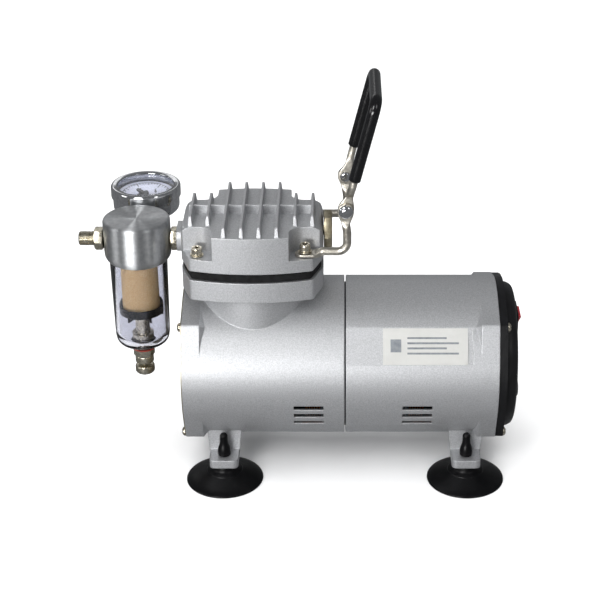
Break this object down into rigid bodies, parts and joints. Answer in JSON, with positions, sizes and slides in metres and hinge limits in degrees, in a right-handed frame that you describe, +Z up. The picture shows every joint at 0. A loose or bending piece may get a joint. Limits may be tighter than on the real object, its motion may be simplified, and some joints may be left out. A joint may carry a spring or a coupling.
{
  "type": "airbrush compressor",
  "caption": "Small oil-less piston compressor with an upright finned cylinder, intake filter, dial gauge, folding carrying handle and suction feet.",
  "frame": {"origin": "on the table, under the middle of the overall length and between the front and back feet", "axes": "+X along the motor shaft towards the switch end, +Y away from the user, +Z up"},
  "size_m": [0.2966, 0.1402, 0.2694],
  "materials": {
    "casting_paint": "silver metallic paint with a fine speckle on die-cast aluminium",
    "black_abs": "satin moulded",
    "gasket_fibre": "matt pressed fibre over a steel plate",
    "lamination_steel": "oiled laminations",
    "winding_copper": "enamelled wire",
    "plated_steel": "bright zinc plate",
    "zinc_screws": "bright nickel plate",
    "bare_aluminium": "fine turned",
    "black_rubber": "smooth moulded, slightly glossy",
    "vinyl_grip": "satin dipped vinyl",
    "red_rocker": "gloss moulded",
    "clear_polycarbonate": "clear moulded",
    "sintered_bronze": "matt porous",
    "nickel_plate": "nickel plate on turned brass",
    "chrome_plate": "bright chrome plate",
    "dial_enamel": "white enamel"
  },
  "bodies": {
    "body": {"crankcase_housing": "casting_paint", "motor_housing": "casting_paint", "front_cover": "casting_paint", "front_cover_screw_1": "zinc_screws", "front_cover_screw_2": "zinc_screws", "front_cover_screw_3": "zinc_screws", "front_cover_screw_4": "zinc_screws", "rear_cap": "black_abs", "rear_cap_screw_1": "zinc_screws", "rear_cap_screw_2": "zinc_screws", "rear_cap_screw_3": "zinc_screws", "rear_cap_screw_4": "zinc_screws", "stator_core": "lamination_steel", "stator_winding": "winding_copper", "shaft_bearing_front": "plated_steel", "shaft_bearing_rear": "plated_steel", "switch_frame": "black_abs", "cable_gland": "black_abs", "cylinder_liner": "bare_aluminium", "valve_plate": "gasket_fibre", "cylinder_head": "casting_paint", "exhaust_muffler": "nickel_plate", "head_bolt_1": "zinc_screws", "head_bolt_2": "zinc_screws", "head_bolt_3": "zinc_screws", "head_bolt_4": "zinc_screws", "filter_head": "bare_aluminium", "filter_bowl": "clear_polycarbonate", "filter_element": "sintered_bronze", "filter_baffle": "black_abs", "filter_stem": "plated_steel", "drain_body": "nickel_plate", "drain_seal": "black_rubber", "hose_nipple": "nickel_plate", "joining_nipple": "nickel_plate", "gauge_elbow": "nickel_plate", "gauge_case": "chrome_plate", "gauge_bezel": "chrome_plate", "gauge_lens": "clear_polycarbonate", "gauge_dial": "dial_enamel", "suction_foot_1": "black_rubber", "suction_foot_2": "black_rubber", "suction_foot_3": "black_rubber", "suction_foot_4": "black_rubber", "handle_bracket_rear": "plated_steel", "handle_bracket_front": "plated_steel", "handle_rivet_rear": "plated_steel", "handle_rivet_front": "plated_steel"},
    "shaft": {"motor_shaft": "plated_steel", "rotor_core": "lamination_steel", "cooling_fan": "black_abs", "crank_eccentric": "lamination_steel"},
    "piston": {"connecting_rod": "bare_aluminium", "piston_cup": "black_rubber", "big_end_bearing": "plated_steel"},
    "handle": {"handle_bail": "plated_steel", "handle_grip": "vinyl_grip"},
    "rocker": {"switch_rocker": "red_rocker"},
    "drain": {"drain_knob": "nickel_plate"},
    "needle": {"gauge_needle": "black_abs"}
  },
  "joints": [
    {"name": "handle_fold", "type": "hinge", "parent": "body", "child": "handle", "pos_m": [0.0286, 0, 0.193], "axis": [0, 1, 0], "range_deg": [-107, 110]},
    {"name": "shaft_spin", "type": "hinge", "parent": "body", "child": "shaft", "pos_m": [0, 0, 0.073], "axis": [1, 0, 0], "continuous": true},
    {"name": "piston_stroke", "type": "slide", "parent": "body", "child": "piston", "axis": [0, 0, 1], "range_m": [-0.012, 0]},
    {"name": "switch_press", "type": "hinge", "parent": "body", "child": "rocker", "pos_m": [0.1438, 0, 0.101], "axis": [0, 1, 0], "range_deg": [-20, 0]},
    {"name": "drain_turn", "type": "hinge", "parent": "body", "child": "drain", "pos_m": [-0.1097, 0, 0.06], "axis": [0, 0, 1], "range_deg": [0, 270]},
    {"name": "needle_sweep", "type": "hinge", "parent": "body", "child": "needle", "pos_m": [-0.1081, 0.0463, 0.173], "axis": [0, 0, 1], "range_deg": [-270, 0]}
  ]
}
